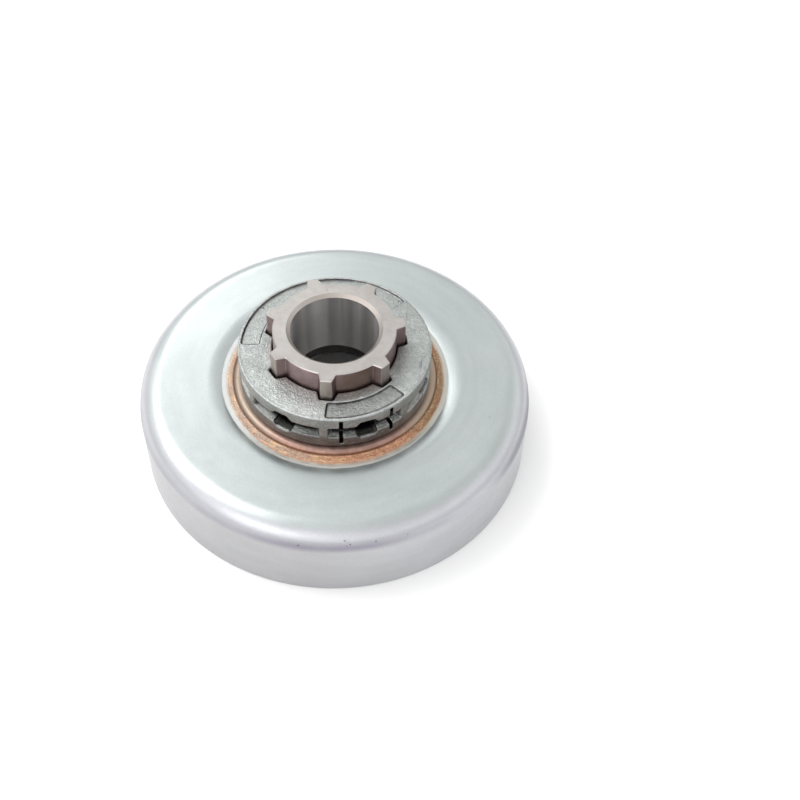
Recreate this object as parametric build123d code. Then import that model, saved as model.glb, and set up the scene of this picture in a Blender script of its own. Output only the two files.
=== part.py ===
from build123d import *
import math
import os

# Clutch drum with a floating rim sprocket, as used on a chainsaw.
# Millimetres, +Z up along the spin axis. The origin is the centre of the open
# rim of the drum, which stands on the plane z = 0.

# ---------------------------------------------------------------- dimensions
# clutch drum: deep-drawn cup
SHEET = 2.5              # sheet thickness
DRUM_R = 38.5            # outer radius of the wall
DRUM_TOP = 16.87         # height of the flat face
CORNER_R = 4.8           # outer radius of the corner between wall and face
DISH_START_R = 25.0      # where the face starts to bend down round the hub
DISH_BEND_R = 9.7        # outer radius of that bend
DISH_ANGLE = 15.5        # slope at the end of the bend, degrees
DISH_RUN = 0.05          # short straight slope below the bend
DISH_FOOT_R = 0.8        # radius between slope and dish floor
SEAT_R = 21.36           # seat coined into the dish floor for the hub's flange
SEAT_DEPTH = 0.60
HUB_HOLE_R = 12.5        # hole in the seat for the hub's spigot
LIP_CHAMFER = 0.35       # broken edges of the open rim

# splined hub: turned flange and spigot, seven splines
SPLINES = 7
SPLINE_A0 = -92.9        # direction of the first spline, degrees from +X
HUB_TOP = 30.09
HUB_ROOT_R = 11.72       # bottom of the splines
HUB_TIP_R = 13.42        # top of the splines
SPLINE_ROOT_W = 3.28     # width of a spline at its root
SPLINE_TIP_W = 2.10      # width of a spline at its tip
SPLINE_ROOT_FILLET = 0.35
SPLINE_TIP_ROUND = 0.25
FLANGE_R = 20.0
FLANGE_TOP = 17.45
FLANGE_ROUND = 1.15
SPIGOT_R = 12.45
SPIGOT_END = 12.2
BORE_R = 8.45            # ground raceway for a needle cage
BORE_END = 15.93         # lower end of the raceway
RELIEF_R = 9.6           # clearance below the raceway
BORE_LEAD = 0.62         # height of the lead-in at the top
BORE_LEAD_R = 9.15
HUB_BREAK = 0.18         # broken edge round the top of the splines

# copper braze between flange and dish
BRAZE_TOP = 16.76        # where it wets the flange
BRAZE_EDGE = 0.03        # how far its outer edge stands above the dish floor
BRAZE_GAP = 0.02

# rim sprocket: one casting, two rails, seven pockets
RIM_R = 18.52
RIM_BOTTOM = 17.50
RIM_TOP = 25.30
RIM_ROUND = 0.27         # rounded outer edges
RIM_BORE_R = 11.98
SLOT_R = 13.76           # bottom of the spline slots
SLOT_ROOT_W = 3.76       # slot width at the bore
SLOT_TIP_W = 2.62        # slot width at its bottom
RIM_BREAK = 0.20         # broken edge round the splined bore
GROOVE_MOUTH_H = 2.70    # drive-tang groove, height at the outside
GROOVE_H = 1.90          # the same, further in
GROOVE_FLARE = 1.30      # radial depth of the flared mouth
POST_W = 1.46            # post between two pockets, at the outside
POST_SLOPE = 45.7        # angle between a pocket's side and its middle line
WINDOW_W = 4.04          # opening in the middle of each pocket
WINDOW_H = 4.15
WINDOW_CORNER = 0.55
WINDOW_BEVEL = 0.32      # bevel at the window's outer mouth
SLIT_PITCH = 15.5        # two fine slits, degrees either side of one pocket
SLIT_W = 0.70
SLIT_Z0 = 18.40
SLIT_Z1 = 24.70
SLIT_DEPTH = 1.55
PANEL_IN_R = 14.27       # sunk panels on the top face
PANEL_OUT_R = 17.97
PANEL_DEPTH = 0.45
PANEL_CORNER = 0.55
PANEL_FRONT = (-92.3, -40.0)
PANEL_LONG = (43.5, 182.9)

STEP_A = 360.0 / SPLINES


def ring_of(edges):
    """Solid of revolution from a closed R-z outline."""
    face = make_face(edges)
    return revolve(Plane.XZ * face, axis=Axis.Z, revolution_arc=360)


def arc_mid(c, r, a0, a1):
    """Start, middle and end points of an arc given by centre and angles."""
    return [
        (c[0] + r * math.cos(math.radians(a)), c[1] + r * math.sin(math.radians(a)))
        for a in (a0, 0.5 * (a0 + a1), a1)
    ]


# ------------------------------------------------------------------ the drum
corner_c = (DRUM_R - CORNER_R, DRUM_TOP - CORNER_R)
bend_c = (DISH_START_R, DRUM_TOP - DISH_BEND_R)
sa = math.radians(DISH_ANGLE)
bend_end = (bend_c[0] - DISH_BEND_R * math.sin(sa), bend_c[1] + DISH_BEND_R * math.cos(sa))
slope_end = (bend_end[0] - DISH_RUN * math.cos(sa), bend_end[1] - DISH_RUN * math.sin(sa))
foot_c = (slope_end[0] - DISH_FOOT_R * math.sin(sa), slope_end[1] + DISH_FOOT_R * math.cos(sa))
DISH_FLOOR = foot_c[1] - DISH_FOOT_R
SEAT_Z = DISH_FLOOR - SEAT_DEPTH

inner_corner_r = CORNER_R - SHEET
inner_bend_r = DISH_BEND_R - SHEET
under_foot_r = DISH_FOOT_R + SHEET
WALL_IN_R = DRUM_R - SHEET

a_corner = arc_mid(corner_c, CORNER_R, 0, 90)
a_bend = arc_mid(bend_c, DISH_BEND_R, 90, 90 + DISH_ANGLE)
a_foot = arc_mid(foot_c, DISH_FOOT_R, -90 + DISH_ANGLE, -90)
b_foot = arc_mid(foot_c, under_foot_r, -90, -90 + DISH_ANGLE)
b_bend = arc_mid(bend_c, inner_bend_r, 90 + DISH_ANGLE, 90)
b_corner = arc_mid(corner_c, inner_corner_r, 90, 0)

drum_outline = [
    Line((WALL_IN_R + LIP_CHAMFER, 0), (DRUM_R - LIP_CHAMFER, 0)),
    Line((DRUM_R - LIP_CHAMFER, 0), (DRUM_R, LIP_CHAMFER)),
    Line((DRUM_R, LIP_CHAMFER), a_corner[0]),
    ThreePointArc(*a_corner),
    Line(a_corner[2], a_bend[0]),
    ThreePointArc(*a_bend),
    Line(a_bend[2], a_foot[0]),
    ThreePointArc(*a_foot),
    Line(a_foot[2], (SEAT_R, DISH_FLOOR)),
    Line((SEAT_R, DISH_FLOOR), (SEAT_R, SEAT_Z)),
    Line((SEAT_R, SEAT_Z), (HUB_HOLE_R, SEAT_Z)),
    Line((HUB_HOLE_R, SEAT_Z), (HUB_HOLE_R, DISH_FLOOR - SHEET)),
    Line((HUB_HOLE_R, DISH_FLOOR - SHEET), b_foot[0]),
    ThreePointArc(*b_foot),
    Line(b_foot[2], b_bend[0]),
    ThreePointArc(*b_bend),
    Line(b_bend[2], b_corner[0]),
    ThreePointArc(*b_corner),
    Line(b_corner[2], (WALL_IN_R, LIP_CHAMFER)),
    Line((WALL_IN_R, LIP_CHAMFER), (WALL_IN_R + LIP_CHAMFER, 0)),
]
clutch_drum = ring_of(drum_outline)

# ------------------------------------------------------------------- the hub
flange_top_arc = arc_mid((FLANGE_R - FLANGE_ROUND, FLANGE_TOP - FLANGE_ROUND), FLANGE_ROUND, 0, 90)
lead = RELIEF_R - BORE_R
hub_outline = [
    Line((SPIGOT_R - 0.3, SPIGOT_END), (SPIGOT_R, SPIGOT_END + 0.3)),
    Line((SPIGOT_R, SPIGOT_END + 0.3), (SPIGOT_R, SEAT_Z)),
    Line((SPIGOT_R, SEAT_Z), (FLANGE_R, SEAT_Z)),
    Line((FLANGE_R, SEAT_Z), flange_top_arc[0]),
    ThreePointArc(*flange_top_arc),
    Line(flange_top_arc[2], (BORE_LEAD_R + 1.2, FLANGE_TOP)),
    Line((BORE_LEAD_R + 1.2, FLANGE_TOP), (BORE_LEAD_R + 1.2, HUB_TOP)),
    Line((BORE_LEAD_R + 1.2, HUB_TOP), (BORE_LEAD_R, HUB_TOP)),
    Line((BORE_LEAD_R, HUB_TOP), (BORE_R, HUB_TOP - BORE_LEAD)),
    Line((BORE_R, HUB_TOP - BORE_LEAD), (BORE_R, BORE_END)),
    Line((BORE_R, BORE_END), (RELIEF_R, BORE_END - lead)),
    Line((RELIEF_R, BORE_END - lead), (RELIEF_R, SPIGOT_END + 0.3)),
    Line((RELIEF_R, SPIGOT_END + 0.3), (RELIEF_R + 0.3, SPIGOT_END)),
    Line((RELIEF_R + 0.3, SPIGOT_END), (SPIGOT_R - 0.3, SPIGOT_END)),
]
hub_core = ring_of(hub_outline)


def spline_plan(root_r, tip_r, root_w, tip_w):
    """One tapered tooth along +X, in plan, starting well inside the root circle."""
    r0 = math.sqrt(root_r ** 2 - (root_w / 2) ** 2)
    k = (root_w - tip_w) / 2 / (tip_r - r0)
    deep = 1.0
    return make_face(Polyline(
        (r0 - deep, -root_w / 2 - k * deep),
        (tip_r, -tip_w / 2),
        (tip_r, tip_w / 2),
        (r0 - deep, root_w / 2 + k * deep),
        close=True,
    ))


def spline_wheel(root_r, tip_r, root_w, tip_w):
    """Round disc with all its teeth, in plan."""
    plan = Sketch() + Circle(root_r)
    tooth = spline_plan(root_r, tip_r, root_w, tip_w)
    for k in range(SPLINES):
        plan += Rot(0, 0, SPLINE_A0 + k * STEP_A) * tooth
    return plan


hub_plan = spline_wheel(HUB_ROOT_R, HUB_TIP_R, SPLINE_ROOT_W, SPLINE_TIP_W)
tip_corners = [v for v in hub_plan.vertices() if math.hypot(v.X, v.Y) > HUB_TIP_R - 0.2]
hub_plan = fillet(tip_corners, SPLINE_TIP_ROUND)
root_corners = [v for v in hub_plan.vertices() if math.hypot(v.X, v.Y) < HUB_ROOT_R + 0.2]
hub_plan = fillet(root_corners, SPLINE_ROOT_FILLET)
hub_teeth = extrude(Pos(0, 0, FLANGE_TOP) * hub_plan, amount=HUB_TOP - FLANGE_TOP)
hub_teeth = hub_teeth - Pos(0, 0, FLANGE_TOP - 1) * extrude(Circle(BORE_LEAD_R + 1.0), amount=20)
top_outer = [e for e in hub_teeth.edges()
             if abs(e.center().Z - HUB_TOP) < 1e-4 and min(math.hypot(v.X, v.Y) for v in e.vertices()) > HUB_ROOT_R - 0.5]
hub_teeth = chamfer(top_outer, HUB_BREAK)
splined_hub = hub_core + hub_teeth

# ----------------------------------------------------------------- the braze
g = BRAZE_GAP
braze_edge = (SEAT_R - g, DISH_FLOOR + BRAZE_EDGE)
braze_outline = [
    Line((FLANGE_R + g, SEAT_Z), (SEAT_R - g, SEAT_Z)),
    Line((SEAT_R - g, SEAT_Z), braze_edge),
    ThreePointArc(braze_edge, (20.62, DISH_FLOOR + 0.10), (FLANGE_R + g, BRAZE_TOP)),
    Line((FLANGE_R + g, BRAZE_TOP), (FLANGE_R + g, SEAT_Z)),
]
braze_ring = ring_of(braze_outline)

# ----------------------------------------------------------- the rim sprocket
RIM_MID = 0.5 * (RIM_BOTTOM + RIM_TOP)
top_arc = arc_mid((RIM_R - RIM_ROUND, RIM_TOP - RIM_ROUND), RIM_ROUND, 0, 90)
bot_arc = arc_mid((RIM_R - RIM_ROUND, RIM_BOTTOM + RIM_ROUND), RIM_ROUND, -90, 0)
rim = ring_of([
    Line((RIM_BORE_R - 2, RIM_BOTTOM), bot_arc[0]),
    ThreePointArc(*bot_arc),
    Line(bot_arc[2], top_arc[0]),
    ThreePointArc(*top_arc),
    Line(top_arc[2], (RIM_BORE_R - 2, RIM_TOP)),
    Line((RIM_BORE_R - 2, RIM_TOP), (RIM_BORE_R - 2, RIM_BOTTOM)),
])

# splined bore, with its edges broken top and bottom
slot_plan = spline_wheel(RIM_BORE_R, SLOT_R, SLOT_ROOT_W, SLOT_TIP_W)
slot_tips = [v for v in slot_plan.vertices() if math.hypot(v.X, v.Y) > SLOT_R - 0.2]
slot_plan = fillet(slot_tips, 0.45)
slot_roots = [v for v in slot_plan.vertices() if math.hypot(v.X, v.Y) < RIM_BORE_R + 0.2]
slot_plan = fillet(slot_roots, 0.5)
rim = rim - extrude(Pos(0, 0, RIM_BOTTOM - 1) * slot_plan, amount=RIM_TOP - RIM_BOTTOM + 2)
bore_edges = [e for e in rim.edges()
              if (abs(e.center().Z - RIM_TOP) < 1e-4 or abs(e.center().Z - RIM_BOTTOM) < 1e-4)
              and max(math.hypot(v.X, v.Y) for v in e.vertices()) < SLOT_R + 0.5]
rim = chamfer(bore_edges, RIM_BREAK)

# pockets for the drive tangs: a V in plan, a flared groove in height, and a
# window in the middle that opens into the splined bore
mouth_half_a = math.radians(STEP_A / 2) - math.asin(POST_W / 2 / RIM_R)
mouth_x, mouth_y = RIM_R * math.cos(mouth_half_a), RIM_R * math.sin(mouth_half_a)
slope = math.tan(math.radians(POST_SLOPE))
apex_x = mouth_x - (mouth_y - WINDOW_W / 2) / slope
far_x = RIM_R + 1.5
far_y = mouth_y + (far_x - mouth_x) * slope
pocket_plan = make_face(Polyline(
    (apex_x, -WINDOW_W / 2), (far_x, -far_y), (far_x, far_y), (apex_x, WINDOW_W / 2), close=True))
flare = ring_of([
    Line((RIM_R - GROOVE_FLARE, RIM_MID - GROOVE_H / 2), (RIM_R, RIM_MID - GROOVE_MOUTH_H / 2)),
    Line((RIM_R, RIM_MID - GROOVE_MOUTH_H / 2), (RIM_R + 1, RIM_MID - GROOVE_MOUTH_H / 2)),
    Line((RIM_R + 1, RIM_MID - GROOVE_MOUTH_H / 2), (RIM_R + 1, RIM_MID + GROOVE_MOUTH_H / 2)),
    Line((RIM_R + 1, RIM_MID + GROOVE_MOUTH_H / 2), (RIM_R, RIM_MID + GROOVE_MOUTH_H / 2)),
    Line((RIM_R, RIM_MID + GROOVE_MOUTH_H / 2), (RIM_R - GROOVE_FLARE, RIM_MID + GROOVE_H / 2)),
    Line((RIM_R - GROOVE_FLARE, RIM_MID + GROOVE_H / 2), (RIM_R - GROOVE_FLARE, RIM_MID - GROOVE_H / 2)),
])
pocket = extrude(Pos(0, 0, RIM_MID - GROOVE_H / 2) * pocket_plan, amount=GROOVE_H)
pocket += flare & extrude(Pos(0, 0, RIM_MID - 2) * pocket_plan, amount=4)
window_face = chamfer(Rectangle(WINDOW_W, WINDOW_H).vertices(), WINDOW_CORNER)
window_face = Plane(origin=(RIM_BORE_R - 1.5, 0, RIM_MID), x_dir=(0, 1, 0), z_dir=(1, 0, 0)) * window_face
pocket += extrude(window_face, amount=RIM_R - RIM_BORE_R + 3)
wb, wh = WINDOW_BEVEL, WINDOW_H / 2
bevel_w = WINDOW_W - 2 * WINDOW_CORNER
bevel_face = Plane.XZ * make_face(Polyline(
    (RIM_R - wb, RIM_MID - wh), (RIM_R + 0.5, RIM_MID - wh - wb - 0.5),
    (RIM_R + 0.5, RIM_MID + wh + wb + 0.5), (RIM_R - wb, RIM_MID + wh), close=True))
pocket += extrude(bevel_face, amount=bevel_w / 2, both=True)
for k in range(SPLINES):
    rim = rim - Rot(0, 0, SPLINE_A0 + (k + 0.5) * STEP_A) * pocket

# two fine slits across both rails of one pocket
slit = Pos(RIM_R - SLIT_DEPTH + 2, 0, 0.5 * (SLIT_Z0 + SLIT_Z1)) * Box(4, SLIT_W, SLIT_Z1 - SLIT_Z0)
for s in (-1, 1):
    rim = rim - Rot(0, 0, SPLINE_A0 + 0.5 * STEP_A + s * SLIT_PITCH) * slit


def sector(a0, a1, r0, r1):
    """Flat ring sector between two angles, with rounded corners."""
    def at(r, a):
        return (r * math.cos(math.radians(a)), r * math.sin(math.radians(a)))
    am = 0.5 * (a0 + a1)
    face = make_face([
        ThreePointArc(at(r1, a0), at(r1, am), at(r1, a1)),
        Line(at(r1, a1), at(r0, a1)),
        ThreePointArc(at(r0, a1), at(r0, am), at(r0, a0)),
        Line(at(r0, a0), at(r1, a0)),
    ])
    return fillet(face.vertices(), PANEL_CORNER)


# sunk panels in the top face
for span in (PANEL_FRONT, PANEL_LONG):
    cut = extrude(Pos(0, 0, RIM_TOP - PANEL_DEPTH) * sector(span[0], span[1], PANEL_IN_R, PANEL_OUT_R), amount=2)
    rim = rim - cut
rim_sprocket = rim

# -------------------------------------------------------------------- export
os.makedirs("parts", exist_ok=True)
NODES = {
    "clutch_drum": clutch_drum,
    "splined_hub": splined_hub,
    "braze_ring": braze_ring,
    "rim_sprocket": rim_sprocket,
}
for name, shape in NODES.items():
    export_step(shape, "parts/%s.step" % name)
    print(name, "solids", len(shape.solids()), "volume mm3", round(shape.volume, 1))
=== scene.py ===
import bpy
import bmesh
import math
import numpy as np
from mathutils import Matrix, Vector
from mathutils import noise as mnoise


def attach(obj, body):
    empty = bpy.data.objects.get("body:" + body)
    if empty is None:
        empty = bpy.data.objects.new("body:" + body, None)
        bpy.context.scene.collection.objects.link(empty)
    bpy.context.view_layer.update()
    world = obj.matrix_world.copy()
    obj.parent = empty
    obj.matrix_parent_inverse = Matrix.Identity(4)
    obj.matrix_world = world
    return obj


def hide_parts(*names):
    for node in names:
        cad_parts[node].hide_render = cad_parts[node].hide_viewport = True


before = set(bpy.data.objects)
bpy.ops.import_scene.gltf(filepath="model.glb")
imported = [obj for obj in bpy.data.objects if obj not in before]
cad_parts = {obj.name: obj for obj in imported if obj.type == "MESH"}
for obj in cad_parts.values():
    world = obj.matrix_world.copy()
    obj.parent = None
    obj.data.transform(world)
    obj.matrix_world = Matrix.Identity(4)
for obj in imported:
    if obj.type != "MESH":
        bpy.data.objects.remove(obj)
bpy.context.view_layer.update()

scene = bpy.context.scene
MM = 0.001
RAD = math.radians


# ------------------------------------------------------------------ node helpers
class Nodes:
    """Small helper to write a node tree as expressions."""

    def __init__(self, tree):
        self.t = tree
        self.t.nodes.clear()

    def node(self, kind, **props):
        n = self.t.nodes.new(kind)
        for k, v in props.items():
            setattr(n, k, v)
        return n

    def put(self, socket, value):
        if isinstance(value, bpy.types.NodeSocket):
            self.t.links.new(value, socket)
        elif value is not None:
            socket.default_value = value

    def math(self, op, a, b=None, c=None, clamp=False):
        n = self.node("ShaderNodeMath", operation=op, use_clamp=clamp)
        for i, v in enumerate((a, b, c)):
            if v is not None:
                self.put(n.inputs[i], v)
        return n.outputs[0]

    def mul(self, *values):
        out = values[0]
        for v in values[1:]:
            out = self.math("MULTIPLY", out, v)
        return out

    def add(self, *values):
        out = values[0]
        for v in values[1:]:
            out = self.math("ADD", out, v)
        return out

    def ramp(self, v, a, b, lo=0.0, hi=1.0, smooth=True):
        n = self.node("ShaderNodeMapRange")
        n.interpolation_type = "SMOOTHSTEP" if smooth else "LINEAR"
        n.clamp = True
        self.put(n.inputs["Value"], v)
        n.inputs["From Min"].default_value = a
        n.inputs["From Max"].default_value = b
        n.inputs["To Min"].default_value = lo
        n.inputs["To Max"].default_value = hi
        return n.outputs["Result"]

    def band(self, v, a, b, soft):
        """1 between a and b, falling to 0 over soft on either side."""
        return self.mul(self.ramp(v, a - soft, a + soft), self.ramp(v, b - soft, b + soft, 1.0, 0.0))

    def noise(self, vec, scale, detail=2.0, rough=0.5, distort=0.0):
        n = self.node("ShaderNodeTexNoise")
        self.put(n.inputs["Vector"], vec)
        n.inputs["Scale"].default_value = scale
        n.inputs["Detail"].default_value = detail
        n.inputs["Roughness"].default_value = rough
        n.inputs["Distortion"].default_value = distort
        return n.outputs["Fac"]

    def voronoi(self, vec, scale, feature="F1"):
        n = self.node("ShaderNodeTexVoronoi", feature=feature)
        self.put(n.inputs["Vector"], vec)
        n.inputs["Scale"].default_value = scale
        return n.outputs["Distance"]

    def vec(self, x, y, z):
        n = self.node("ShaderNodeCombineXYZ")
        for i, v in enumerate((x, y, z)):
            self.put(n.inputs[i], v)
        return n.outputs[0]

    def mix(self, fac, a, b):
        n = self.node("ShaderNodeMix", data_type="RGBA")
        self.put(n.inputs[0], fac)
        self.put(n.inputs[6], a)
        self.put(n.inputs[7], b)
        return n.outputs[2]

    def mixf(self, fac, a, b):
        n = self.node("ShaderNodeMix", data_type="FLOAT")
        self.put(n.inputs[0], fac)
        self.put(n.inputs[2], a)
        self.put(n.inputs[3], b)
        return n.outputs[0]

    def shade(self, colour, factor):
        """Colour times a grey factor."""
        n = self.node("ShaderNodeVectorMath", operation="SCALE")
        self.put(n.inputs[0], colour)
        self.put(n.inputs["Scale"], factor)
        return n.outputs[0]

    def bump(self, height, strength, distance, normal=None):
        n = self.node("ShaderNodeBump")
        n.inputs["Strength"].default_value = strength
        n.inputs["Distance"].default_value = distance
        self.put(n.inputs["Height"], height)
        if normal is not None:
            self.put(n.inputs["Normal"], normal)
        return n.outputs["Normal"]

    def attribute(self, name):
        return self.node("ShaderNodeAttribute", attribute_name=name).outputs["Fac"]


def srgb(r, g, b):
    """sRGB 0-255 to a linear RGBA tuple."""
    def f(c):
        c /= 255.0
        return c / 12.92 if c <= 0.04045 else ((c + 0.055) / 1.055) ** 2.4
    return (f(r), f(g), f(b), 1.0)


def new_material(name):
    m = bpy.data.materials.new(name)
    m.use_nodes = True
    n = Nodes(m.node_tree)
    out = n.node("ShaderNodeOutputMaterial")
    p = n.node("ShaderNodeBsdfPrincipled")
    n.t.links.new(p.outputs[0], out.inputs[0])
    return m, n, p


def coords(n):
    """Object coordinates in millimetres, with radius and angle (degrees) about the spin axis."""
    tc = n.node("ShaderNodeTexCoord")
    sc = n.node("ShaderNodeVectorMath", operation="SCALE")
    n.t.links.new(tc.outputs["Object"], sc.inputs[0])
    sc.inputs["Scale"].default_value = 1000.0
    vec = sc.outputs[0]
    sep = n.node("ShaderNodeSeparateXYZ")
    n.t.links.new(vec, sep.inputs[0])
    x, y, z = sep.outputs
    r = n.math("SQRT", n.add(n.mul(x, x), n.mul(y, y)))
    a = n.math("MULTIPLY", n.math("ARCTAN2", y, x), 180.0 / math.pi)
    return vec, x, y, z, r, a


def round_axis(n, x, y, r, k, w):
    """Noise coordinates that turn with the angle about the spin axis, without a seam."""
    return n.vec(n.mul(n.math("DIVIDE", x, r), k), n.mul(n.math("DIVIDE", y, r), k), w)


def flow_radius(n, x, y):
    """Radius about the centre that the braze flowed from, a little off the spin axis."""
    dx = n.mul(n.math("SUBTRACT", x, 0.10), 1.017)
    dy = n.math("ADD", y, 0.40)
    return n.math("SQRT", n.add(n.mul(dx, dx), n.mul(dy, dy)))


# ------------------------------------------------------------------ mesh helpers
def arc(c, r, a0, a1, n):
    return [(c[0] + r * math.cos(RAD(a0 + (a1 - a0) * i / n)),
             c[1] + r * math.sin(RAD(a0 + (a1 - a0) * i / n))) for i in range(n + 1)]


def line(p, q, n):
    return [(p[0] + (q[0] - p[0]) * i / n, p[1] + (q[1] - p[1]) * i / n) for i in range(n + 1)]


def joined(*runs):
    """One closed outline from runs that meet end to end."""
    out = []
    for run in runs:
        for p in run:
            if not out or math.dist(p, out[-1]) > 1e-6:
                out.append(p)
    if math.dist(out[0], out[-1]) < 1e-6:
        out.pop()
    return out


def lathe(name, outline, angles, shift):
    """Closed ring from an R-z outline (anticlockwise) and a list of angles in degrees.
    shift(r, z, angle, nr, nz) gives a move along the normal in mm, and a mark from 0 to 1."""
    n, m = len(outline), len(angles)
    verts, marks = [], []
    for i in range(n):
        (ra, za), (r, z), (rb, zb) = outline[i - 1], outline[i], outline[(i + 1) % n]
        tr, tz = rb - ra, zb - za
        ln = math.hypot(tr, tz)
        nr, nz = tz / ln, -tr / ln
        for a in angles:
            d, mark = shift(r, z, a, nr, nz)
            rr, zz = r + nr * d, z + nz * d
            verts.append((rr * math.cos(RAD(a)) * MM, rr * math.sin(RAD(a)) * MM, zz * MM))
            marks.append(mark)
    faces = []
    for i in range(n):
        k = (i + 1) % n
        for j in range(m):
            l = (j + 1) % m
            faces.append((i * m + j, i * m + l, k * m + l, k * m + j))
    me = bpy.data.meshes.new(name)
    me.from_pydata(verts, [], faces)
    me.update()
    att = me.attributes.new("mark", "FLOAT", "POINT")
    att.data.foreach_set("value", marks)
    me.shade_smooth()
    ob = bpy.data.objects.new(name, me)
    scene.collection.objects.link(ob)
    return ob


def sharp_by_angle(me, limit):
    """Mark edges sharper than limit degrees so that broken edges stay crisp."""
    bm = bmesh.new()
    bm.from_mesh(me)
    for e in bm.edges:
        if len(e.link_faces) == 2 and e.calc_face_angle(0.0) > RAD(limit):
            e.smooth = False
    bm.to_mesh(me)
    bm.free()


# ------------------------------------------------------------------ drum
SHEET, DRUM_R, DRUM_TOP, CORNER_R = 2.5, 38.5, 16.87, 4.8
DISH_R, BEND_R, DISH_A, DISH_RUN, FOOT_R = 25.0, 9.7, 15.5, 0.05, 0.8
HOLE_R, LIP, SEAT_R, SEAT_DEPTH = 12.5, 0.35, 21.36, 0.60
corner_c = (DRUM_R - CORNER_R, DRUM_TOP - CORNER_R)
bend_c = (DISH_R, DRUM_TOP - BEND_R)
sa = RAD(DISH_A)
bend_end = (bend_c[0] - BEND_R * math.sin(sa), bend_c[1] + BEND_R * math.cos(sa))
slope_end = (bend_end[0] - DISH_RUN * math.cos(sa), bend_end[1] - DISH_RUN * math.sin(sa))
foot_c = (slope_end[0] - FOOT_R * math.sin(sa), slope_end[1] + FOOT_R * math.cos(sa))
dish_z = foot_c[1] - FOOT_R
seat_z = dish_z - SEAT_DEPTH
wall_in = DRUM_R - SHEET

o_corner = arc(corner_c, CORNER_R, 0, 90, 40)
o_bend = arc(bend_c, BEND_R, 90, 90 + DISH_A, 22)
o_foot = arc(foot_c, FOOT_R, -90 + DISH_A, -90, 8)
u_foot = arc(foot_c, FOOT_R + SHEET, -90, -90 + DISH_A, 12)
u_bend = arc(bend_c, BEND_R - SHEET, 90 + DISH_A, 90, 10)
u_corner = arc(corner_c, CORNER_R - SHEET, 90, 0, 12)
drum_outline = joined(
    arc((DRUM_R - LIP, LIP), LIP, -90, 0, 5),
    line((DRUM_R, LIP), (DRUM_R, 2.5), 7),
    line((DRUM_R, 2.5), o_corner[0], 8),
    o_corner,
    line(o_corner[-1], o_bend[0], 12),
    o_bend, o_foot,
    line(o_foot[-1], (SEAT_R, dish_z), 6),
    line((SEAT_R, dish_z), (SEAT_R, seat_z), 1),
    line((SEAT_R, seat_z), (HOLE_R, seat_z), 3),
    line((HOLE_R, seat_z), (HOLE_R, dish_z - SHEET), 2),
    line((HOLE_R, dish_z - SHEET), u_foot[0], 4),
    u_foot, u_bend,
    line(u_bend[-1], u_corner[0], 6),
    u_corner,
    line(u_corner[-1], (wall_in, LIP), 8),
    arc((wall_in + LIP, LIP), LIP, 180, 270, 5),
)

# small handling marks: angle, r, z, half length round, half width, depth
NICKS = [
    (-83.6, 37.62, 14.84, 0.30, 0.22, 0.10),
    (-82.9, 37.83, 14.50, 0.36, 0.18, 0.12),
    (-82.2, 38.02, 14.15, 0.26, 0.26, 0.11),
    (-83.2, 38.10, 13.95, 0.22, 0.16, 0.08),
    (-75.25, 38.00, 14.21, 0.22, 0.26, 0.13),
    (-66.2, 38.05, 14.10, 0.34, 0.22, 0.07),
    (-48.8, 38.50, 1.30, 0.26, 0.36, 0.10),
    (-49.6, 38.50, 1.75, 0.18, 0.22, 0.07),
    (-96.2, 38.22, 13.69, 0.30, 0.24, 0.09),
    (-123.5, 38.50, 1.00, 0.30, 0.26, 0.08),
    (-17.0, 31.63, 16.87, 0.26, 0.24, 0.05),
    (165.8, 25.95, 16.87, 0.26, 0.26, 0.05),
]
BUMPS = [
    (-65.2, 36.28, 16.12, 0.45, 0.28, 0.06),
    (-118.5, 38.44, 12.83, 0.40, 0.22, 0.05),
]


def spot(table, r, z, a):
    best = 0.0
    depth = 0.0
    for (na, nr, nz, la, lw, dp) in table:
        da = (a - na + 180.0) % 360.0 - 180.0
        if abs(da) > 3.0:
            continue
        u = RAD(da) * r / la
        v = math.hypot(r - nr, z - nz) / lw
        q = u * u + v * v
        if q < 4.0:
            f = math.exp(-1.2 * q)
            if f * dp > depth:
                depth = f * dp
            best = max(best, f)
    return depth, best


def drum_shift(r, z, a, nr, nz):
    p = Vector((r * math.cos(RAD(a)), r * math.sin(RAD(a)), z))
    if nz > 0.3 and r > DISH_R:
        cone = min(r, 34.0) - DISH_R
        fade = max(0.0, min(1.0, (38.0 - r) / 4.0))
    else:
        cone, fade = 0.0, 0.0
    d = -0.014 * cone * fade
    d += 0.035 * mnoise.noise(p * 0.075) + 0.012 * mnoise.noise(p * 0.21 + Vector((7.1, 3.3, 1.9)))
    if z < 2.0 or r < SEAT_R + 0.01:
        d *= 0.25
    if z < LIP:
        d = 0.0
    if SEAT_R - 0.01 < r < 22.3 and z > dish_z - 0.1:
        f = min(1.0, (r - SEAT_R + 0.1) / 0.3) * min(1.0, (22.3 - r) / 0.3)
        d += f * (0.018 * mnoise.noise(p * 0.6) + 0.014 * mnoise.noise(p * 1.7))
    outer = nz > 0.02 or r > 37.5
    if not outer:
        return d, 0.0
    dep, mark = spot(NICKS, r, z, a)
    up, _ = spot(BUMPS, r, z, a)
    ragged = 0.55 + 0.45 * mnoise.noise(p * 5.0)
    return d - dep * ragged + up, min(1.0, mark * (0.7 + 0.6 * mnoise.noise(p * 6.0)))


drum_angles = set(round(i * 1.0, 3) for i in range(360))
for row in NICKS + BUMPS:
    for k in range(-10, 11):
        drum_angles.add(round((row[0] + k * 0.15) % 360.0, 3))
drum_angles = sorted(drum_angles)
kept = [drum_angles[0]]
for a in drum_angles[1:]:
    if a - kept[-1] > 0.08:
        kept.append(a)
drum_angles = kept

drum = lathe("drum_shell", drum_outline, drum_angles, drum_shift)
sharp_by_angle(drum.data, 50.0)


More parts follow.
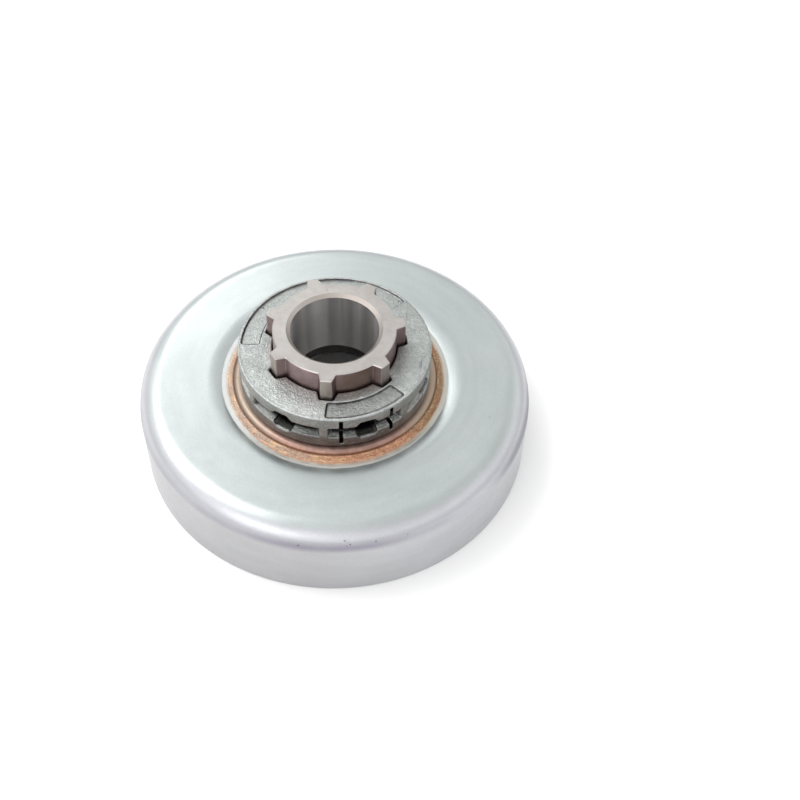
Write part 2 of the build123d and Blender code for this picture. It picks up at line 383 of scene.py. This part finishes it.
# ------------------------------------------------------------------ braze fillet
def braze_shift(r, z, a, nr, nz):
    if nz < 0.05:
        return 0.0, 0.0
    p = Vector((r * math.cos(RAD(a)), r * math.sin(RAD(a)), z))
    inner = max(0.0, min(1.0, (BRAZE_OUT - r) / 0.25 + 0.25)) * max(0.0, min(1.0, (r - 20.0) / 0.2))
    d = 0.05 + 0.05 * mnoise.noise(p * 0.55) + 0.04 * mnoise.noise(p * 1.5) + 0.03 * mnoise.noise(p * 3.1)
    return d * inner, 0.0


def arc3(p, q, s, n):
    """Arc through three points, n steps."""
    ax, ay, bx, by, cx, cy = *p, *q, *s
    dd = 2 * (ax * (by - cy) + bx * (cy - ay) + cx * (ay - by))
    ux = ((ax * ax + ay * ay) * (by - cy) + (bx * bx + by * by) * (cy - ay) + (cx * cx + cy * cy) * (ay - by)) / dd
    uy = ((ax * ax + ay * ay) * (cx - bx) + (bx * bx + by * by) * (ax - cx) + (cx * cx + cy * cy) * (bx - ax)) / dd
    r = math.hypot(ax - ux, ay - uy)
    t0, t1, t2 = (math.atan2(y - uy, x - ux) for x, y in (p, q, s))
    while t1 - t0 > math.pi:
        t1 -= 2 * math.pi
    while t1 - t0 < -math.pi:
        t1 += 2 * math.pi
    while t2 - t1 > math.pi:
        t2 -= 2 * math.pi
    while t2 - t1 < -math.pi:
        t2 += 2 * math.pi
    return [(ux + r * math.cos(t0 + (t2 - t0) * i / n), uy + r * math.sin(t0 + (t2 - t0) * i / n)) for i in range(n + 1)]


g = 0.02
BRAZE_OUT, BRAZE_TOP = SEAT_R - g, 16.76
braze_outline = joined(
    line((20.02, seat_z), (BRAZE_OUT, seat_z), 3),
    line((BRAZE_OUT, seat_z), (BRAZE_OUT, dish_z + 0.03), 2),
    arc3((BRAZE_OUT, dish_z + 0.03), (20.60, dish_z + 0.11), (19.92, BRAZE_TOP + 0.05), 20),
    line((19.92, BRAZE_TOP + 0.05), (20.02, 16.42), 3),
    line((20.02, 16.42), (20.02, seat_z), 2),
)
braze = lathe("braze_fillet", braze_outline, [i * 0.5 for i in range(720)], braze_shift)


# ------------------------------------------------------------------ rim casting
def remeshed(node, name, voxel, keep):
    """Even, fine mesh of a node, drawn back on to its surface."""
    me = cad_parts[node].data.copy()
    me.transform(Matrix.Scale(1000.0, 4))
    bm = bmesh.new()
    bm.from_mesh(me)
    bmesh.ops.remove_doubles(bm, verts=bm.verts, dist=2e-4)
    bm.to_mesh(me)
    bm.free()
    src = bpy.data.objects.new(name + "_src", me)
    tmp = bpy.data.objects.new(name + "_tmp", me.copy())
    for o in (src, tmp):
        scene.collection.objects.link(o)
    mod = tmp.modifiers.new("even", "REMESH")
    mod.mode = "VOXEL"
    mod.voxel_size = voxel
    mod.adaptivity = 0.0
    sw = tmp.modifiers.new("back", "SHRINKWRAP")
    sw.target = src
    sw.wrap_method = "NEAREST_SURFACEPOINT"
    sm = tmp.modifiers.new("soft", "SMOOTH")
    sm.factor = 0.5
    sm.iterations = 1
    de = tmp.modifiers.new("thin", "DECIMATE")
    de.ratio = keep
    bpy.context.view_layer.update()
    dg = bpy.context.evaluated_depsgraph_get()
    out = bpy.data.meshes.new_from_object(tmp.evaluated_get(dg))
    for o in (src, tmp):
        d = o.data
        bpy.data.objects.remove(o)
        bpy.data.meshes.remove(d)
    out.name = name
    return out


def bend_of(me, rounds):
    """Signed curvature at each vertex, 1/mm: above 0 on edges, below 0 in corners."""
    n = len(me.vertices)
    co, no = np.empty(n * 3), np.empty(n * 3)
    me.vertices.foreach_get("co", co)
    me.vertices.foreach_get("normal", no)
    co, no = co.reshape(-1, 3), no.reshape(-1, 3)
    ed = np.empty(len(me.edges) * 2, dtype=np.int32)
    me.edges.foreach_get("vertices", ed)
    a, b = ed.reshape(-1, 2).T
    d = co[b] - co[a]
    k = ((no[b] - no[a]) * d).sum(1) / np.maximum((d * d).sum(1), 1e-6)
    count = np.bincount(a, minlength=n) + np.bincount(b, minlength=n)
    out = (np.bincount(a, k, n) + np.bincount(b, k, n)) / count
    for _ in range(rounds):
        near = (np.bincount(a, out[b], n) + np.bincount(b, out[a], n)) / count
        out = 0.5 * out + 0.5 * near
    return out


rim_me = remeshed("rim_sprocket", "rim_casting", 0.178, 0.70)
att = rim_me.attributes.new("bend", "FLOAT", "POINT")
att.data.foreach_set("value", bend_of(rim_me, 2).astype(np.float32))
moves = []
for v in rim_me.vertices:
    p = v.co
    r = math.hypot(p.x, p.y)
    f = 0.018 * mnoise.noise(p * 0.8) + 0.026 * mnoise.noise(p * 1.7 + Vector((3.0, 1.0, 5.0)))
    f += 0.022 * mnoise.noise(p * 2.7 + Vector((9.0, 4.0, 2.0)))
    if p.z < 18.0 or r < 14.0:
        f *= 0.35
    moves.append((p + v.normal * f) * MM)
for v, q in zip(rim_me.vertices, moves):
    v.co = q
rim_me.update()
rim_me.shade_smooth()
rim_me.materials.clear()
rim = bpy.data.objects.new("rim_casting", rim_me)
scene.collection.objects.link(rim)


# ------------------------------------------------------------------ materials
SLITS = (-82.69, -51.69)
PANEL_R = (14.27, 17.97)
PANELS = ((-92.3, -40.0), (43.5, 182.9))
PANEL_SHADE_WIDTH = ((0.45, 0.30), (0.60, 0.66))   # width of the painted shade along their two ends


def zinc():
    m, n, p = new_material("zinc_plate")
    vec, x, y, z, r, a = coords(n)
    up = n.ramp(z, 15.7, 16.75)
    cloud = n.noise(vec, 0.07, 3.0)
    side = n.mix(cloud, srgb(170, 170, 172), srgb(177, 177, 179))
    # the wall is painted lighter towards the right, painted light
    side = n.mix(n.ramp(x, -6.0, 24.0), side, n.mix(cloud, srgb(182, 183, 186), srgb(188, 189, 192)))
    corner = n.mix(cloud, srgb(182, 183, 187), srgb(190, 191, 195))
    face = n.mix(cloud, srgb(171, 179, 178), srgb(181, 187, 186))
    col = n.mix(n.ramp(z, 12.4, 14.8), side, corner)
    col = n.mix(up, col, face)
    # painted dark reflection: a duller, bluish band where the sheet turns into the wall
    dark_reflection_angles = n.add(n.mul(n.band(a, -112.0, -62.0, 20.0), 0.65), n.mul(n.band(a, -30.0, 0.0, 10.0), 1.0), n.ramp(x, 10.0, -10.0, 0.22, 0.40))
    turn = n.mul(n.band(z, 12.7, 14.2, 0.7), n.math("MINIMUM", dark_reflection_angles, 1.0))
    col = n.mix(n.mul(turn, n.ramp(n.noise(vec, 0.09, 2.0), 0.3, 0.6, 0.75, 1.0)), col, srgb(138, 135, 146))
    # darker patch low on the corner at the right, a painted dark reflection
    shade_r = n.mul(n.band(z, 12.4, 14.6, 0.6), n.band(a, -24.0, 6.0, 10.0))
    col = n.mix(n.mul(shade_r, 0.55), col, srgb(104, 104, 110))
    # faint handling streaks on the face
    arcs = n.noise(round_axis(n, x, y, r, 2.87, n.add(n.mul(r, 0.55), n.mul(z, 0.45))), 1.0, 3.0, 0.55)
    col = n.shade(col, n.ramp(arcs, 0.25, 0.75, 0.965, 1.035))
    # painted highlight: the bend down to the braze is a little brighter at the front, more so towards the right
    bend_painted_highlight = n.mul(n.band(r, 22.5, 24.6, 0.5), n.ramp(y, 4.0, -12.0))
    col = n.shade(col, n.mixf(bend_painted_highlight, 1.0, n.ramp(x, -16.0, 14.0, 1.03, 1.30)))
    # stained strip beside the braze
    re = flow_radius(n, x, y)
    wob = n.ramp(n.noise(vec, 0.55, 4.0, 0.6), 0.0, 1.0, -1.0, 1.0, False)
    rw = n.add(re, n.mul(wob, 0.18))
    strip = n.mul(n.ramp(rw, 22.56, 22.36), n.ramp(z, 15.9, 16.3))
    c_strip = n.mix(n.ramp(n.noise(vec, 0.5, 3.0), 0.35, 0.65), srgb(154, 150, 141), srgb(172, 170, 163))
    c_strip = n.mix(n.mul(n.ramp(n.noise(vec, 0.33, 2.0), 0.55, 0.7), 0.6), c_strip, srgb(168, 174, 146))
    # the strip is painted lighter at the left and right and on its outer edge, painted light
    c_strip = n.mix(n.ramp(x, -10.0, -19.0), c_strip, srgb(198, 199, 197))
    c_strip = n.mix(n.mul(n.ramp(x, 15.0, 20.5), 0.9), c_strip, srgb(192, 189, 179))
    c_strip = n.mix(n.ramp(r, 22.1, 22.5), c_strip, srgb(194, 192, 186))
    tint = n.ramp(n.add(re, n.mul(wob, 0.30)), 21.70, 21.30)
    c_tint = n.mix(n.ramp(n.noise(vec, 0.9, 5.0, 0.65), 0.3, 0.7), srgb(176, 132, 106), srgb(200, 160, 134))
    c_strip = n.mix(n.mul(tint, 0.9), c_strip, c_tint)
    col = n.mix(strip, col, c_strip)
    grain = n.ramp(n.noise(vec, 2.6, 3.0, 0.6), 0.3, 0.7, 0.97, 1.03)
    col = n.shade(col, grain)
    mark = n.attribute("mark")
    dirt = n.ramp(mark, 0.25, 0.75)
    col = n.mix(dirt, col, srgb(88, 84, 88))
    n.put(p.inputs["Base Color"], col)
    n.put(p.inputs["Metallic"], n.mixf(strip, 0.84, 0.30))
    rough = n.ramp(n.noise(vec, 0.4, 4.0, 0.6), 0.3, 0.7, 0.28, 0.34)
    rough = n.mixf(up, n.math("ADD", rough, 0.06), rough)
    rough = n.mixf(strip, rough, 0.58)
    n.put(p.inputs["Roughness"], n.mixf(dirt, rough, 0.6))
    fine = n.add(n.mul(n.noise(vec, 5.0, 3.0, 0.6), 0.6), n.mul(n.noise(vec, 0.9, 2.0), 0.8))
    n.put(p.inputs["Normal"], n.bump(fine, 0.10, 0.00006))
    return m


def hub_steel():
    m, n, p = new_material("hub_steel")
    vec, x, y, z, r, a = coords(n)
    p.inputs["Metallic"].default_value = 1.0
    cloud = n.noise(vec, 0.35, 4.0, 0.6)
    fine = n.noise(vec, 3.5, 3.0, 0.6)
    # turned top
    top = n.ramp(z, 29.86, 30.04)
    c_top = n.mix(n.ramp(cloud, 0.35, 0.65), srgb(166, 162, 158), srgb(175, 171, 168))
    # spline flanks and root, stained by heat
    c_side = n.mix(n.ramp(cloud, 0.3, 0.7), srgb(150, 127, 128), srgb(167, 146, 145))
    # painted shade: the right-front flanks a darker brown, and the flanks darker towards the right
    flank_painted_shade = n.mul(n.band(a, -84.0, -48.0, 8.0), n.ramp(n.noise(vec, 0.16, 2.0), 0.3, 0.7, 0.6, 1.0))
    c_side = n.mix(n.mul(flank_painted_shade, 0.75), c_side, srgb(118, 96, 80))
    c_side = n.shade(c_side, n.ramp(x, 2.0, 10.0, 1.0, 0.82))
    # crests of the splines, cleaner; darker on the right, painted shade
    crest = n.ramp(r, 13.20, 13.36)
    c_side = n.mix(crest, c_side, n.mix(n.ramp(x, 2.0, 8.0), srgb(176, 165, 158), srgb(160, 150, 144)))
    # oil and painted shade on the length inside the rim
    hid = n.mul(n.band(z, 18.0, 24.7, 0.3), n.ramp(r, 10.9, 11.2))
    c_side = n.mix(hid, c_side, srgb(62, 56, 58))
    # flange: upper bead lighter and foot darker, painted highlight and painted shade; lighter at the left, painted
    # light; browner at the right, partly the copper over it and partly painted light
    low = n.mul(n.ramp(z, 17.9, 17.5), n.ramp(r, 10.6, 11.2))
    c_flange_painted_highlight = n.mix(n.ramp(n.noise(vec, 0.8, 3.0), 0.3, 0.7), srgb(150, 120, 110), srgb(166, 138, 128))
    c_flange_painted_shade = n.mix(n.ramp(n.noise(vec, 0.8, 3.0), 0.3, 0.7), srgb(122, 82, 62), srgb(138, 98, 76))
    c_low_painted_shading = n.mix(n.ramp(z, 16.80, 17.28), c_flange_painted_shade, c_flange_painted_highlight)
    c_low_painted_shading = n.shade(c_low_painted_shading, n.ramp(x, 2.0, -8.0, 1.0, 1.08))
    c_low_painted_shading = n.mix(n.ramp(x, -6.0, -17.0), c_low_painted_shading, srgb(150, 136, 123))
    c_low_painted_shading = n.mix(n.mul(n.ramp(x, 12.0, 17.0), 0.8), c_low_painted_shading, srgb(156, 142, 124))
    # the top is painted darker towards the left, painted shade
    c_top = n.shade(c_top, n.ramp(x, -7.0, -12.0, 1.0, 0.93))
    col = n.mix(top, c_side, c_top)
    col = n.mix(low, col, c_low_painted_shading)
    # plain turned spigot under the drum
    spigot = n.mul(n.ramp(z, 15.84, 15.70), n.ramp(r, 9.55, 9.75))
    col = n.mix(spigot, col, n.mix(n.ramp(cloud, 0.35, 0.65), srgb(150, 147, 144), srgb(162, 159, 156)))
    # lead-in at the mouth of the bore
    lead = n.mul(n.ramp(r, 9.22, 9.10), n.ramp(z, 29.40, 29.50))
    c_lead = n.mix(n.ramp(y, 2.0, 8.0), srgb(170, 164, 159), srgb(174, 166, 160))
    col = n.mix(lead, col, c_lead)
    # ground raceway, streaked along the axis
    bore = n.mul(n.ramp(r, 8.62, 8.52), n.ramp(z, 29.50, 29.40))
    streak = n.noise(round_axis(n, x, y, r, 9.2, n.mul(z, 0.012)), 1.0, 3.0, 0.55)
    broad = n.noise(round_axis(n, x, y, r, 2.6, n.mul(z, 0.012)), 1.0, 1.0, 0.4)
    c_bore = n.mix(n.ramp(broad, 0.34, 0.66), srgb(202, 199, 200), srgb(246, 244, 242))
    c_bore = n.shade(c_bore, n.ramp(streak, 0.3, 0.7, 0.975, 1.015))
    col = n.mix(bore, col, c_bore)
    # dull clearance bore below
    relief = n.mul(n.ramp(r, 9.75, 9.65), n.ramp(z, 15.96, 15.90))
    col = n.mix(relief, col, srgb(84, 82, 79))
    # bright broken edge round the top
    edge = n.mul(n.band(z, 29.93, 30.05, 0.02), n.ramp(r, 11.2, 11.4))
    col = n.mix(edge, col, srgb(176, 172, 169))
    # small pits on the worked faces
    pit = n.mul(n.ramp(n.voronoi(vec, 0.62), 0.11, 0.05), n.ramp(n.noise(vec, 0.23, 2.0), 0.52, 0.6))
    pit = n.mul(pit, n.math("SUBTRACT", 1.0, bore))
    col = n.mix(n.mul(pit, 0.6), col, srgb(92, 86, 86))
    col = n.shade(col, n.ramp(fine, 0.3, 0.7, 0.97, 1.03))
    n.put(p.inputs["Base Color"], col)
    rough = n.mixf(top, n.ramp(cloud, 0.3, 0.7, 0.36, 0.46), 0.34)
    rough = n.mixf(low, rough, 0.42)
    rough = n.mixf(bore, rough, n.ramp(streak, 0.3, 0.7, 0.42, 0.50))
    n.put(p.inputs["Roughness"], rough)
    rings = n.math("SINE", n.mul(r, 34.0))
    rings = n.mul(rings, n.mul(top, n.ramp(n.noise(vec, 0.6), 0.35, 0.7, 0.1, 0.5)))
    hgt = n.add(n.mul(fine, 0.8), n.mul(rings, 0.25), n.mul(pit, -1.5))
    hgt = n.mul(hgt, n.math("SUBTRACT", 1.0, n.mul(bore, 0.85)))
    n.put(p.inputs["Normal"], n.bump(hgt, 0.22, 0.00006))
    return m


def copper():
    m, n, p = new_material("copper_braze")
    vec, x, y, z, r, a = coords(n)
    p.inputs["Metallic"].default_value = 0.62
    blot = n.noise(vec, 0.9, 5.0, 0.65)
    grit = n.noise(vec, 4.2, 3.0, 0.6)
    wander = n.ramp(n.noise(vec, 0.16, 2.0), 0.0, 1.0, -1.0, 1.0, False)
    xs = n.add(x, n.mul(wander, 5.0))
    c_dull = n.mix(n.ramp(blot, 0.3, 0.7), srgb(152, 130, 116), srgb(176, 156, 142))
    c_warm = n.mix(n.ramp(blot, 0.3, 0.7), srgb(174, 122, 94), srgb(204, 156, 126))
    # darker towards the right, painted shade
    c_right_painted_shade = n.mix(n.ramp(blot, 0.3, 0.7), srgb(132, 102, 74), srgb(154, 124, 94))
    col = n.mix(n.ramp(xs, -10.0, 5.0), c_dull, c_warm)
    col = n.mix(n.ramp(xs, 13.5, 19.0), col, c_right_painted_shade)
    run = n.noise(round_axis(n, x, y, r, 6.3, n.mul(r, 1.6)), 1.0, 4.0, 0.6)
    col = n.mix(n.mul(n.ramp(run, 0.54, 0.68), 0.55), col, srgb(226, 188, 138))
    col = n.mix(n.mul(n.ramp(run, 0.46, 0.34), 0.45), col, srgb(160, 106, 78))
    col = n.mix(n.mul(n.ramp(grit, 0.57, 0.68), 0.75), col, srgb(238, 212, 176))
    col = n.mix(n.mul(n.ramp(grit, 0.43, 0.33), 0.6), col, srgb(132, 86, 60))
    re = flow_radius(n, x, y)
    rr = n.add(re, n.mul(n.ramp(n.noise(vec, 0.7, 4.0, 0.6), 0.0, 1.0, -1.0, 1.0, False), 0.35))
    pale = n.ramp(rr, 21.22, 21.62)
    c_pale = n.mix(n.ramp(n.noise(vec, 0.5, 3.0), 0.35, 0.65), srgb(176, 166, 152), srgb(190, 186, 178))
    col = n.mix(n.mul(pale, 0.85), col, c_pale)
    # painted shade in the groove against the flange, fading towards the right
    groove_painted_shade = n.ramp(r, 20.30, 20.06)
    groove_painted_shade = n.mul(groove_painted_shade, n.ramp(x, 9.0, 16.0, 0.75, 0.2))
    col = n.mix(groove_painted_shade, col, srgb(112, 70, 50))
    n.put(p.inputs["Base Color"], col)
    n.put(p.inputs["Roughness"], n.ramp(blot, 0.3, 0.7, 0.46, 0.60))
    hgt = n.add(n.mul(grit, 1.0), n.mul(blot, 0.8))
    n.put(p.inputs["Normal"], n.bump(hgt, 0.6, 0.00016))
    return m


def cast():
    m, n, p = new_material("cast_steel")
    vec, x, y, z, r, a = coords(n)
    p.inputs["Metallic"].default_value = 1.0
    blot = n.noise(vec, 0.5, 4.0, 0.6)
    grit = n.noise(vec, 3.3, 3.0, 0.65)
    top = n.math("MAXIMUM", n.ramp(z, 25.02, 25.22), n.mul(n.ramp(z, 24.3, 24.6), n.ramp(r, 18.1, 18.0)))
    c_side = n.mix(n.ramp(blot, 0.3, 0.7), srgb(145, 146, 145), srgb(163, 164, 162))
    # the lower rail is a darker copy, painted shade, lighter towards the left and right, painted light
    c_low_painted_shading = n.mix(n.ramp(blot, 0.3, 0.7), srgb(115, 115, 115), srgb(131, 131, 130))
    c_low_painted_shading = n.shade(c_low_painted_shading, n.mul(n.ramp(x, -4.0, -11.0, 1.0, 1.33), n.ramp(x, 8.0, 16.0, 0.97, 1.45)))
    c_top = n.mix(n.ramp(blot, 0.3, 0.7), srgb(154, 158, 156), srgb(168, 172, 170))
    # rim top painted lighter towards the front and darker at the left and right, painted light and shade
    c_top = n.shade(c_top, n.mul(n.ramp(y, -4.0, -15.0, 1.0, 1.15), n.ramp(x, -9.0, -14.0, 1.0, 0.98)))
    c_top = n.shade(c_top, n.ramp(n.add(x, n.mul(y, 0.4)), 6.0, 16.0, 1.0, 0.90))
    # painted shadow of the hub on the rim top, in two places
    hub_painted_shadow = n.mul(n.ramp(r, 14.9, 12.6), n.band(a, -32.0, 14.0, 12.0))
    hub_painted_shadow = n.add(hub_painted_shadow, n.mul(n.ramp(r, 15.6, 13.2), n.band(a, -124.0, -98.0, 9.0), 0.7))
    c_top = n.shade(c_top, n.ramp(hub_painted_shadow, 0.0, 1.0, 1.0, 0.80, False))
    # floor of the front panel, and the narrow ring outside the panels, both darkened: painted shade
    sunk = n.mul(n.ramp(z, 25.10, 24.95), n.ramp(y, -8.0, -13.0))
    c_top = n.shade(c_top, n.mixf(sunk, 1.0, 0.85))
    c_top = n.shade(c_top, n.mixf(n.ramp(r, 17.88, 18.02), 1.0, n.ramp(x, -14.0, -4.0, 0.78, 0.90)))
    col = n.mix(n.ramp(z, 20.6, 20.0), c_side, c_low_painted_shading)
    col = n.mix(top, col, c_top)
    col = n.shade(col, n.ramp(grit, 0.3, 0.7, 0.80, 1.17))
    # painted shade in the pockets, windows and slits: walls darker towards the upper rail, faces turned down near
    # black; up-facing sills lighter, painted light
    mid = n.band(z, 19.2, 23.6, 0.25)
    pocket_painted_shade = n.mul(mid, n.ramp(n.add(r, n.mul(n.noise(vec, 1.2, 3.0), 0.5)), 18.68, 18.2))
    facing = n.node("ShaderNodeNewGeometry").outputs["Normal"]
    fsep = n.node("ShaderNodeSeparateXYZ")
    n.t.links.new(facing, fsep.inputs[0])
    shelf = n.ramp(fsep.outputs[2], 0.35, 0.8)
    under = n.ramp(fsep.outputs[2], -0.25, -0.7)
    c_wall_painted_shade = n.mix(n.ramp(z, 20.9, 22.1), srgb(80, 79, 79), srgb(22, 21, 22))
    c_pocket_painted_shading = n.mix(shelf, c_wall_painted_shade, srgb(160, 163, 158))
    c_pocket_painted_shading = n.mix(under, c_pocket_painted_shading, srgb(20, 19, 20))
    col = n.mix(n.mul(pocket_painted_shade, 0.85), col, c_pocket_painted_shading)
    # painted shade deep in the pockets
    deep_painted_shade = n.mul(n.band(z, 18.3, 24.6, 0.2), n.ramp(r, 17.3, 16.2))
    col = n.mix(n.mul(deep_painted_shade, 0.92), col, srgb(34, 31, 34))
    # painted shade in the narrow slits
    for slit in SLITS:
        t = n.math("ABSOLUTE", n.mul(n.math("SUBTRACT", a, slit), r, math.pi / 180.0))
        gap = n.mul(n.ramp(t, 0.42, 0.34), n.ramp(r, 18.52, 18.36), n.band(z, 18.35, 24.75, 0.05))
        col = n.mix(n.mul(gap, 0.9), col, srgb(24, 23, 24))
    # painted shade in the corners of the sunk panels, wider along some sides and faded at the back and right
    away_in = n.math("DIVIDE", n.math("ABSOLUTE", n.math("SUBTRACT", r, PANEL_R[0])), n.ramp(y, 0.0, 9.0, 0.30, 0.66))
    away_out = n.math("DIVIDE", n.math("ABSOLUTE", n.math("SUBTRACT", r, PANEL_R[1])), n.ramp(y, 0.0, -9.0, 0.30, 0.74))
    sides = n.math("MINIMUM", away_in, away_out)
    outline = None
    for (a0, a1), (w0, w1) in zip(PANELS, PANEL_SHADE_WIDTH):
        ac = n.math("WRAP", n.math("SUBTRACT", a, 0.5 * (a0 + a1)), 180.0, -180.0)
        half = 0.5 * (a1 - a0)
        end0 = n.mul(n.add(ac, half), r, math.pi / 180.0)
        end1 = n.mul(n.math("SUBTRACT", half, ac), r, math.pi / 180.0)
        near = n.math("MINIMUM", sides, n.math("DIVIDE", n.math("ABSOLUTE", end0), w0))
        near = n.math("MINIMUM", near, n.math("DIVIDE", n.math("ABSOLUTE", end1), w1))
        span = n.mul(n.ramp(end0, -0.12, 0.02), n.ramp(end1, -0.12, 0.02))
        span = n.mul(span, n.band(r, PANEL_R[0] - 0.1, PANEL_R[1] + 0.1, 0.08))
        one = n.mul(n.ramp(near, 1.0, 0.45), span)
        outline = one if outline is None else n.math("MAXIMUM", outline, one)
    shade_fade = n.ramp(n.band(a, 46.0, 82.0, 4.0), 0.0, 1.0, 1.0, 0.15)
    shade_fade = n.mul(shade_fade, n.ramp(y, 3.0, 9.0, 1.0, 0.5), n.ramp(x, 3.0, 9.0, 1.0, 0.75))
    outline = n.mul(outline, n.ramp(z, 24.7, 24.8), n.ramp(z, 25.28, 25.18), shade_fade)
    outline = n.mul(outline, n.ramp(n.noise(vec, 0.9, 3.0), 0.32, 0.6, 0.7, 1.0))
    col = n.mix(outline, col, srgb(62, 60, 62))
    # bright edges, partly wear and partly painted highlight; darker corners, partly dirt and partly painted shade
    bend = n.attribute("bend")
    wear_and_highlight = n.mul(n.ramp(bend, 0.5, 1.7), n.ramp(n.noise(vec, 1.1, 3.0), 0.35, 0.62, 0.15, 1.0))
    wear_and_highlight = n.mul(wear_and_highlight, n.math("MAXIMUM", n.ramp(z, 25.02, 25.2), n.ramp(r, 18.4, 18.3)))
    col = n.mix(n.mul(wear_and_highlight, 0.45), col, srgb(200, 201, 200))
    col = n.mix(n.mul(n.ramp(bend, -0.4, -1.5), n.ramp(n.noise(vec, 0.8, 3.0), 0.3, 0.6, 0.35, 0.7), shade_fade), col, srgb(50, 47, 49))
    n.put(p.inputs["Base Color"], col)
    n.put(p.inputs["Roughness"], n.ramp(grit, 0.3, 0.7, 0.46, 0.34))
    hgt = n.add(n.mul(grit, 1.0), n.mul(n.noise(vec, 1.3, 2.0), 0.8))
    n.put(p.inputs["Normal"], n.bump(hgt, 0.75, 0.00016))
    return m


def wear(piece, body, node, material):
    piece.data.materials.append(material)
    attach(piece, body)
    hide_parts(node)


wear(drum, "drum", "clutch_drum", zinc())
wear(braze, "drum", "braze_ring", copper())
wear(rim, "rim", "rim_sprocket", cast())
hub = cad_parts["splined_hub"]
hub.data.materials.clear()
hub.data.materials.append(hub_steel())

# ------------------------------------------------------------------ floor
bpy.ops.mesh.primitive_plane_add(size=6.0, location=(0, 0, -0.00002))
floor = bpy.context.object
floor.name = "studio_floor"
fm, fn, fp = new_material("floor_white")
fp.inputs["Base Color"].default_value = (0.90, 0.90, 0.90, 1.0)
fp.inputs["Roughness"].default_value = 0.7
floor.data.materials.append(fm)

# ------------------------------------------------------------------ light
world = bpy.data.worlds.new("studio")
scene.world = world
world.use_nodes = True
wn = Nodes(world.node_tree)
wout = wn.node("ShaderNodeOutputWorld")
bg = wn.node("ShaderNodeBackground")
wn.t.links.new(bg.outputs[0], wout.inputs[0])
bg.inputs["Color"].default_value = (1.0, 1.0, 1.0, 1.0)
wdir = wn.node("ShaderNodeTexCoord").outputs["Generated"]
wsep = wn.node("ShaderNodeSeparateXYZ")
wn.t.links.new(wdir, wsep.inputs[0])
wx, wy, wz = wsep.outputs
high = wn.ramp(wz, 0.03, 0.25)
left = wn.ramp(wx, 0.7, -0.8)
side = wn.add(wn.mul(wx, 0.707), wn.mul(wy, -0.707))
low_band = wn.mul(wn.ramp(side, -0.60, 0.10), wn.band(wz, 0.2, 0.60, 0.12))
level = wn.add(0.40, wn.mul(high, wn.add(0.50, wn.mul(left, 0.44))), wn.mul(low_band, 0.50))
wn.put(bg.inputs["Strength"], level)


def softbox(name, azimuth, elevation, distance, size, radiance, colour=(1, 1, 1)):
    """Square lamp that faces the object; radiance is what a mirror would show."""
    d = bpy.data.lights.new(name, "AREA")
    d.shape = "RECTANGLE"
    d.size, d.size_y = size
    d.energy = radiance * math.pi * size[0] * size[1]
    d.color = colour
    o = bpy.data.objects.new(name, d)
    scene.collection.objects.link(o)
    az, el = RAD(azimuth), RAD(elevation)
    where = Vector((math.cos(az) * math.cos(el), math.sin(az) * math.cos(el), math.sin(el))) * distance
    o.location = where
    o.rotation_euler = (Vector((0, 0, 0.015)) - where).to_track_quat("-Z", "Y").to_euler()
    return o


softbox("key_left", 160, 54, 0.9, (0.56, 0.56), 3.4)
softbox("window_back", 112, 37, 1.0, (0.32, 0.26), 3.2)
softbox("fill_front_left", -122, 34, 0.9, (0.60, 0.34), 1.35)

# ------------------------------------------------------------------ camera
CAM_E, CAM_ROLL, CAM_F, CAM_D, CAM_TX, CAM_TY = 50.2851, 2.4835, 1171.66, 243.146, 336.773, 426.973
e, ro = RAD(CAM_E), RAD(CAM_ROLL)
back = Vector((0, -math.cos(e), math.sin(e)))
right = Vector((1, 0, 0))
up = back.cross(right)
r2 = math.cos(ro) * right + math.sin(ro) * up
u2 = -math.sin(ro) * right + math.cos(ro) * up
xc = (CAM_TX - 400) / CAM_F * CAM_D
yc = -(CAM_TY - 400) / CAM_F * CAM_D
loc = (CAM_D * back - xc * r2 - yc * u2) * MM
cd = bpy.data.cameras.new("photo_camera")
cd.sensor_width = 36.0
cd.sensor_fit = "HORIZONTAL"
cd.lens = CAM_F * 36.0 / 800.0
cd.clip_start = 0.005
cd.clip_end = 20.0
cam = bpy.data.objects.new("photo_camera", cd)
scene.collection.objects.link(cam)
cam.matrix_world = Matrix((
    (r2.x, u2.x, back.x, loc.x),
    (r2.y, u2.y, back.y, loc.y),
    (r2.z, u2.z, back.z, loc.z),
    (0, 0, 0, 1),
))
scene.camera = cam

scene.view_settings.view_transform = "Standard"
scene.view_settings.look = "None"
scene.view_settings.exposure = 0.0
scene.view_settings.gamma = 1.0

for o in (drum, braze, rim):
    o.data.calc_loop_triangles()
    print(o.name, "triangles", len(o.data.loop_triangles))
bpy.context.view_layer.update()
